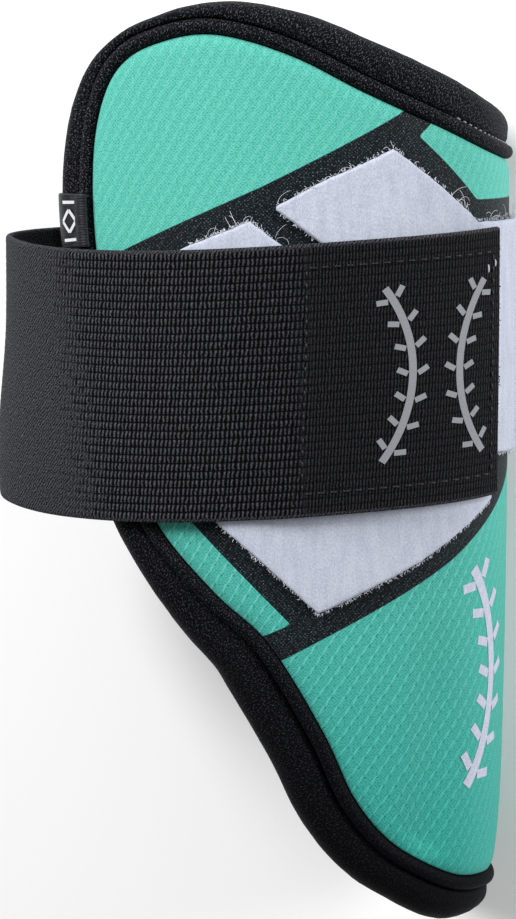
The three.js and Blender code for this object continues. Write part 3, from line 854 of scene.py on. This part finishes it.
def printed_knit(name, printed=True):
    """Polyester knit, dyed by heat transfer and embossed with chains of short slanting ridges.
    Each ridge is painted as a thin lighter line, a painted highlight, with a small dark pit beside
    it, a painted shade, and between them the stitches show as dark dots, drawn a little coarser
    than the real 0.5 mm. Above the strap the embossing is pressed out to soft bands, and the teal
    is painted darker towards the low end, a painted shade."""
    material, add, shader = new_material(name, 0.65, 0.12, 0.1, "F0FBF8")
    cloth = add("UVMap", uv_map="cloth")
    u = add("SeparateXYZ", cloth)
    v = u.node.outputs[1]
    sway = add("TexNoise", Vector=cloth, Scale=0.07, Detail=1.0, **FLAT)
    chain = add("Math MULTIPLY", v, EMBOSS_LEAN / EMBOSS_PITCH)
    chain = add("Math MULTIPLY_ADD", u, 1 / EMBOSS_PITCH, chain)
    chain = add("Math MULTIPLY_ADD", sway, 0.5, chain)
    row = add("Math DIVIDE", v, EMBOSS_ROW)
    row = add("Math FRACT", row)
    place = add("Math MULTIPLY_ADD", row, -0.12, chain)
    place = add("Math FRACT", place)
    middle = off_centre(add, row)
    embossed = add("MapRange", v, PRESSED_FROM, EMBOSSED_TO)
    ridge_side = add("Math ABSOLUTE", u)
    ridge_side = add("MapRange", ridge_side, *RIDGE_FADE, 0.15, 1.0)
    embossed = add("Math MULTIPLY", embossed, ridge_side)
    ridge = off_centre(add, place)
    wide = add("MapRange", embossed, 0.0, 1.0, 0.3, 0.15)
    ridge = add("MapRange", ridge, wide, 0.02, **SMOOTH)
    full = add("MapRange", middle, 0.5, 0.25, 0.3, 1.0)
    ridge = add("Math MULTIPLY", ridge, full)
    beside = add("Math SUBTRACT", place, 0.32)
    above = add("Math SUBTRACT", row, 0.8)
    above = add("Math MULTIPLY", above, 0.72)
    spot = add("CombineXYZ", beside, above, 0.0)
    pit = add("VectorMath LENGTH", spot, out="Value")
    pit = add("MapRange", pit, 0.12, 0.03, **SMOOTH)
    pit_depth = add("MapRange", embossed, 0.0, 1.0, 0.05, 0.6)
    pit = add("Math MULTIPLY", pit, pit_depth)
    wale, course = ripple(add, u, STITCH_PITCH), ripple(add, v, STITCH_PITCH)
    stitch = add("Math MULTIPLY", wale, course)
    flat = add("Mapping", cloth, Scale=(1.7, 2.6, 1))
    knit = add("TexNoise", Vector=flat, Scale=1.0, Detail=2.0, Roughness=0.7, **FLAT)
    knit = add("Math MULTIPLY_ADD", stitch, 0.11, knit)
    proud = add("MapRange", embossed, 0.0, 1.0, 0.4, 1.0)
    proud = add("Math MULTIPLY", ridge, proud)
    height = add("Math MULTIPLY_ADD", pit, -0.8, proud)
    height = add("Math MULTIPLY_ADD", knit, 0.9, height)
    speck = add("MapRange", knit, 0.34, 0.6)
    fleck = add("MapRange", knit, 0.6, 0.8)
    # Painted highlight: the ridges are tinted lighter, more where the embossing is full
    ridge_highlight_share = add("MapRange", embossed, 0.0, 1.0, 0.18, 0.55)
    ridge_highlight = add("Math MULTIPLY", ridge, ridge_highlight_share)

    def dyed_and_shaded(tones, specks):
        """One dye on the knit, deep between stitches, with a painted shade in the pits and a
        painted highlight on the ridges.
        """
        pit_shade_tone, deep, plain, light = (colour(tone) for tone in tones)
        base = mixed(add, specks, deep, plain)
        # A painted highlight on the ridges, then a painted shade in the pits
        base = mixed(add, ridge_highlight, base, light)
        return mixed(add, pit, base, pit_shade_tone)

    if printed:
        margin = add("SeparateXYZ", add("UVMap", uv_map="print"))
        teal = add("MapRange", margin, -0.12, 0.12)
        # Painted shade: the teal is multiplied darker and deeper towards the low end, standing in
        # for the light falling off there
        low_shade = add("MapRange", v, *LOW_SHADE_FADE)
        shaded_teal = add("Mix", Factor=low_shade, A=dyed_and_shaded(TEAL_DYE_AND_PAINTED_LIGHT, speck), B=colour(TEAL_LOW_SHADE),
                     out="Result", data_type="RGBA", blend_type="MULTIPLY")
        base = mixed(add, teal, dyed_and_shaded(NAVY_DYE_AND_PAINTED_LIGHT, fleck), shaded_teal)
    else:
        base = dyed_and_shaded(WHITE_DYE_AND_PAINTED_LIGHT, speck)
    finish_with(add, shader, base, height, 0.5, 0.16)
    return material


def black_knit(name, light):
    """Fine black polyester knit. Single stitches are speckled grey: partly the bright filaments'
    own tone and partly painted glints, painted brighter at the upper end than at the low one.
    The stitches are drawn a little coarser than the real 0.4 mm."""
    material, add, shader = new_material(name, 0.6, 0.05, 0.02, "9AA2B4")
    cloth = add("UVMap", uv_map="cloth")
    stitch = add("Mapping", cloth, Scale=(2.4, 1.6, 1), Rotation=(0, 0, 0.5))
    stitch = add("TexNoise", Vector=stitch, Scale=1.0, Detail=2.0, Roughness=0.75, **FLAT)
    along = add("SeparateXYZ", add("TexCoord", out="Object"), out=1)
    painted_light_fade = add("MapRange", along, -0.12, 0.06, 0.1, 1.0)  # painted light: the grey specks fade towards the low end; from and to in metres
    shade = add("MapRange", stitch, 0.56, 0.78)
    shade = add("Math MULTIPLY", shade, painted_light_fade)
    base = mixed(add, shade, colour(KNIT_GAP), colour(light))
    finish_with(add, shader, base, stitch, 0.8, 0.3)
    return material


def woven_elastic(name):
    """Polyester yarn woven over rubber threads: short upright floats in rows. Pulled over the
    pad, the dark gaps between floats open. Slack round the back they close to a fine twill, and
    where the hook strip is sewn behind, the weave is held close. Both long edges are woven
    plain."""
    material, add, shader = new_material(name, 0.7, 0.05, 0.01, "9CA3B4")
    cloth = add("UVMap", uv_map="cloth")
    u = add("SeparateXYZ", cloth)
    v = u.node.outputs[1]
    waver = add("TexNoise", Vector=cloth, Scale=0.5, Detail=3.0, Roughness=0.6, **FLAT)
    fuzz = add("TexNoise", Vector=cloth, Scale=2.2, Detail=2.0, Roughness=0.7, **FLAT)
    yarn = add("MapRange", fuzz, 0.25, 0.75, 0.1, 1.4)

    def floats(pitch, shift, width, gap):
        """The yarn's floats, one row to a rib and each row shifted from the last. gap is how dark
        the space between rows is."""
        row = add("Math MULTIPLY_ADD", v, 1 / RIB_PITCH, 0.5)
        number = add("Math FLOOR", row)
        row = add("Math FRACT", row)
        across = add("Math MULTIPLY", u, 1 / pitch)
        across = add("Math MULTIPLY_ADD", number, shift, across)
        across = add("Math MULTIPLY_ADD", waver, 0.8, across)
        across = add("Math MULTIPLY_ADD", row, 0.12, across)
        side = off_centre(add, add("Math FRACT", across))
        side = add("MapRange", side, width, 0.04, **SMOOTH)
        end = off_centre(add, row)
        end = add("MapRange", end, 0.49, 0.3, 1 - gap, 1.0, **SMOOTH)
        lit = add("Math MULTIPLY", side, end)
        return add("Math MULTIPLY", lit, yarn)

    broken = add("MapRange", waver, 0.3, 0.7, -6.0, 6.0)
    broken = add("Math ADD", u, broken)
    broken = add("Math MULTIPLY_ADD", v, -0.16, broken)
    slack = add("MapRange", broken, SLACK_FROM - 5, SLACK_FROM + 12, **SMOOTH)
    held = add("MapRange", u, HELD_TO + 3, HELD_TO - 3)
    edge = add("Math ABSOLUTE", v)
    edge = add("MapRange", edge, STRAP_WIDTH / 2 - 1.2, STRAP_WIDTH / 2 - 0.7)
    tension = add("MapRange", u, HELD_TO, SLACK_FROM - 8, 0.5, 1.0)
    pulled = add("Math MULTIPLY", floats(FLOAT_PITCH, 0.11, 0.33, 1.0), tension)
    tight = add("Math MULTIPLY", floats(FLOAT_PITCH * 0.75, 0.07, 0.4, 0.6), 0.26)
    twill = add("Math MULTIPLY_ADD", v, 0.8, u)
    twill = add("Math MULTIPLY_ADD", waver, 1.5, twill)
    twill = ripple(add, twill, TWILL_PITCH)
    close = add("Math MULTIPLY_ADD", twill, 0.16, fuzz)
    close = add("MapRange", close, 0.3, 0.85, 0.0, 0.85)
    slack = add("Math MAXIMUM", slack, edge)
    lit = add("Mix", Factor=held, A=pulled, B=tight, out="Result")
    lit = add("Mix", Factor=slack, A=lit, B=close, out="Result")
    base = mixed(add, lit, colour(ELASTIC_GAP), colour(ELASTIC_YARN))
    finish_with(add, shader, base, lit, 0.8, 0.3)
    return material


def loop_pile(name):
    """Brushed nylon loop pile: a soft white nap that scatters light, brushed along the arm, and
    painted darker and bluer in its hollows, a painted shade."""
    material, add, shader = new_material(name, 0.9, 0.1, 0.1, "FFFFFF")
    cloth = add("UVMap", uv_map="cloth")
    nap = add("Mapping", cloth, Scale=(2.4, 1.4, 1))
    nap = add("TexNoise", Vector=nap, Scale=1.0, Detail=3.0, Roughness=0.7, **FLAT)
    brushed = add("Mapping", cloth, Scale=(0.42, 0.1, 1))
    brushed = add("TexNoise", Vector=brushed, Scale=1.0, Detail=2.0, **FLAT)
    height = add("Math MULTIPLY_ADD", brushed, 0.35, nap)
    shade = add("MapRange", height, 0.45, 0.9)
    # Painted shade: the nap's hollows are coloured darker than its tips
    base = mixed(add, shade, colour(PILE_HOLLOW_SHADE), colour(PILE_TIP))
    finish_with(add, shader, base, nap, 0.5, 0.25)
    return material


def thread(name, hex_value, roughness, specular):
    """Fine filaments and flat prints, evenly dyed, with a slight gloss. The faint unevenness is
    the twist of the yarn, or the weave that shows through a print."""
    material, add, shader = new_material(name, roughness, specular, 0, "FFFFFF")
    spot = add("TexCoord", out="Object")
    twist = add("TexNoise", Vector=spot, Scale=1500.0, Detail=2.0)
    dull = tuple(0.82 * c for c in colour(hex_value)[:3]) + (1,)
    base = mixed(add, twist, dull, colour(hex_value))
    finish_with(add, shader, base, twist, 0.3, 0.1)
    return material


def woven_label(name):
    """Black satin label tape: close fine rows across it, drawn coarser than the real 0.2 mm, with
    the satin's own soft gloss."""
    material, add, shader = new_material(name, 0.45, 0.3, 0, "FFFFFF")
    cloth = add("UVMap", uv_map="cloth")
    row = ripple(add, add("SeparateXYZ", cloth), LABEL_PITCH)
    loose = add("TexNoise", Vector=cloth, Scale=1.5, Detail=2.0, **FLAT)
    row = add("Math MULTIPLY_ADD", row, 0.2, loose)
    shade = add("MapRange", row, 0.3, 0.8)
    base = mixed(add, shade, colour("060608"), colour("26272C"))
    finish_with(add, shader, base, row, 0.5, 0.15)
    return material


rest_shift = np.zeros(3)
cover_points, cover_maps = cover_grid()
lying = turned(cover_points).reshape(-1, 3)
low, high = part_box("shell_cover")
rest_shift = np.array((low + high) / 2) * 1000 - (lying.min(0) + lying.max(0)) / 2

cover_cloth = printed_knit("heat-printed embossed polyester knit")
white_print = printed_knit("white heat-printed embossed knit", printed=False)
lining = black_knit("black knit lining over foam", "6A6C76")
cord_knit = black_knit("black knit piping", "6C6E78")
elastic = woven_elastic("black woven elastic")
pile = loop_pile("white brushed loop pile")
satin = woven_label("black satin label tape")
label_yarn = thread("white woven label yarn", "D6D8DE", 0.5, 0.3)
grey_transfer = thread("grey rubber transfer print", "8C8D93", 0.42, 0.35)
pile_nylon = thread("loose white nylon filament", "E8EAF2", 0.4, 0.4)
elastic_yarn = thread("cut black polyester yarn", "1A1A1D", 0.6, 0.15)
sewing_thread = thread("black bonded sewing thread", "1E1E22", 0.45, 0.3)
seam_thread = thread("pale grey seam thread", "8E9097", 0.5, 0.3)

add_piece("printed_cover", [(cover_points, cover_maps)], cover_cloth,
          "shell_cover", slot="cover_fabric")
liner = add_piece("foam_liner", [liner_grid()], lining, "padded_liner", slot="liner_fabric")
add_piece("seam_piping", [piping_grid()], cord_knit, "edge_piping", slot="piping_fabric")
PATCHES = (("front", FRONT_PATCH, 1, 31), ("near", SIDE_PATCH, 1, 32), ("far", SIDE_PATCH, -1, 33))
for name, table, side, _ in PATCHES:
    add_piece(name + "_pile", [patch_grid(table, side)], pile, "loop_patch_" + name,
              slot="loop_pile")
strap = add_piece("rib_elastic", [strap_grid()], elastic, "elastic_strap", slot="woven_elastic")
add_piece("hook_strip", [hook_tab_grid()], cord_knit, "hook_tab", slot="hook_tape")
add_piece("folded_label", [label_grid()], satin, "side_label", slot="woven_label")

# Prints: two ball seams back to back on the strap, and larger on both sides of the ridge
strokes = seam_strokes((52, 0), radius=40, half_angle=math.radians(36), gap=13, seam=2,
                       leg=2.7, pairs=7)
add_piece("strap_print", [
    stroke_grid(line, width, on_strap, lift=0.06, thick=0.16) for line, width in strokes
], grey_transfer, slot="woven_elastic", rounded=False)
strokes = seam_strokes((0, 0.272 * GUARD_HEIGHT), radius=50, half_angle=math.radians(38),
                       gap=46, seam=3.4, leg=4.6, pairs=7)
add_piece("ridge_print", [
    stroke_grid(line, width, on_cover, lift=0.05, thick=0.08) for line, width in strokes
], white_print, slot="cover_fabric", rounded=False)

# The label's woven figures: a diamond between two bars
ACROSS = 8.2  # from the piping's side of the label to the middle of the figures
figures = [
    (-2.9, 0, 0, 2.3), (0, 2.3, 2.9, 0), (2.9, 0, 0, -2.3), (0, -2.3, -2.9, 0),
    (-4.9, -2.2, -4.9, 2.2), (4.9, -2.2, 4.9, 2.2),
]
add_piece("label_figures", [
    stroke_grid(np.linspace((a, ACROSS + b), (c, ACROSS + d), 5), 0.8, on_label,
                lift=0.03, thick=0.1)
    for a, b, c, d in figures
], label_yarn, slot="woven_label", rounded=False)

# Stitching: the hook strip's outline, the strap's sewn end with its cross, and the rim's seam
TAB_SEAM = 2.5  # from the hook strip's edge
tab_low, tab_high = (float(along_strap(wrap)) for wrap in (tab_front, tab_back))
half = STRAP_WIDTH / 2 - HOOK_TAB_INSET - TAB_SEAM
rows = rectangle(tab_low + TAB_SEAM, tab_high - TAB_SEAM, -half, half)
sewn = float(along_strap(STRAP_SEWN_WRAP))
start, end, half = sewn - 26, sewn - 4, STRAP_WIDTH / 2 - 6
rows += rectangle(start, end, -half, half)
rows += [((start, -half), (end, half)), ((start, half), (end, -half))]
add_piece("strap_stitching", [
    grid for a, b in rows for grid in stitch_row(a, b, on_strap, pitch=3.2, radius=0.3)
], sewing_thread, slot="woven_elastic")
# Two short tacks at the upper corner of the strap's free end
add_piece("tack_stitching", [
    grid for across, low, high in ((36.2, 24, 28), (33.6, 25.5, 29))
    for grid in stitch_row((across, low), (across, high), on_strap, pitch=4, radius=0.24)
], label_yarn, slot="woven_elastic")
GROOVE = PIPING_DIAMETER + 1.5 * LAYER_GAP
add_piece("rim_stitching", stitch_row(
    (-45, GROOVE), (45, GROOVE), lambda spots, depth: on_rim(spots, depth - 0.9),
    pitch=2.6, radius=0.28, reach=0.6,
), seam_thread, slot="piping_fabric")

# Loose filaments round the cut cloth
for name, table, side, seed in PATCHES:
    add_piece(name + "_fibres", patch_fibres(table, side, seed), pile_nylon, slot="loop_pile")
add_piece("strap_end_fibres", cut_end_fibres(21), elastic_yarn, slot="woven_elastic")

strap_length = float(along_strap(STRAP_SEWN_WRAP) - along_strap(STRAP_FRONT_WRAP))

# The floor, the light and the camera
floor_mesh = bpy.data.meshes.new("floor")
shape = bmesh.new()
bmesh.ops.create_grid(shape, x_segments=1, y_segments=1, size=4)
shape.to_mesh(floor_mesh)
shape.free()
floor_stuff, _, shader = new_material("pale matt backdrop paper", 0.95, 0.1, 0, "FFFFFF")
shader.inputs["Base Color"].default_value = colour("FAFAFA")
floor_mesh.materials.append(floor_stuff)
floor = in_scene("floor", floor_mesh)

world = bpy.data.worlds.new("studio")
world.use_nodes = True
world.node_tree.nodes["Background"].inputs["Color"].default_value = colour("FFFFFF")
world.node_tree.nodes["Background"].inputs["Strength"].default_value = 0.24
bpy.context.scene.world = world
bpy.context.scene.view_settings.view_transform = "Standard"


def from_guard(x, y, z):
    """A place given in the guard's own frame, in millimetres, as metres where it lies."""
    return Vector((turned(np.array([x, y, z], float)) + rest_shift) / 1000)


def softbox(name, place, towards, size, power):
    data = bpy.data.lights.new(name, "AREA")
    data.shape = "RECTANGLE"
    data.size, data.size_y = size
    data.energy = power
    lamp = in_scene(name, data)
    lamp.location = place
    lamp.rotation_mode = "QUATERNION"
    lamp.rotation_quaternion = (Vector(towards) - Vector(place)).to_track_quat("-Z", "Y")


AIM_HEIGHT = 129
aim = from_guard(0, 0, AIM_HEIGHT)
softbox("key", (-0.8, 0.9, 1.1), aim, size=(0.7, 0.7), power=33)
softbox("side", (1.2, 0.45, 0.5), aim, size=(0.8, 0.4), power=14)

CAMERA_TILT = math.radians(6.4)
CAMERA_AWAY = 1000
PIXELS_PER_MM = 3.5
PICTURE_HEIGHT = 919
SENSOR = 36
back, up = CAMERA_AWAY * math.cos(CAMERA_TILT), CAMERA_AWAY * math.sin(CAMERA_TILT)
eye = from_guard(0, -back, AIM_HEIGHT + up)
upright = turned(np.array([0, math.sin(CAMERA_TILT), math.cos(CAMERA_TILT)]))
camera_data = bpy.data.cameras.new("camera")
camera_data.sensor_width = SENSOR
camera_data.lens = SENSOR * PIXELS_PER_MM * CAMERA_AWAY / PICTURE_HEIGHT
camera_data.clip_start, camera_data.clip_end = 0.05, 20
camera = in_scene("camera", camera_data)
look = (aim - eye).normalized()
right = look.cross(Vector(upright)).normalized()
turn = Matrix((right, right.cross(look), -look)).transposed().to_4x4()
camera.matrix_world = Matrix.Translation(eye) @ turn
bpy.context.scene.camera = camera
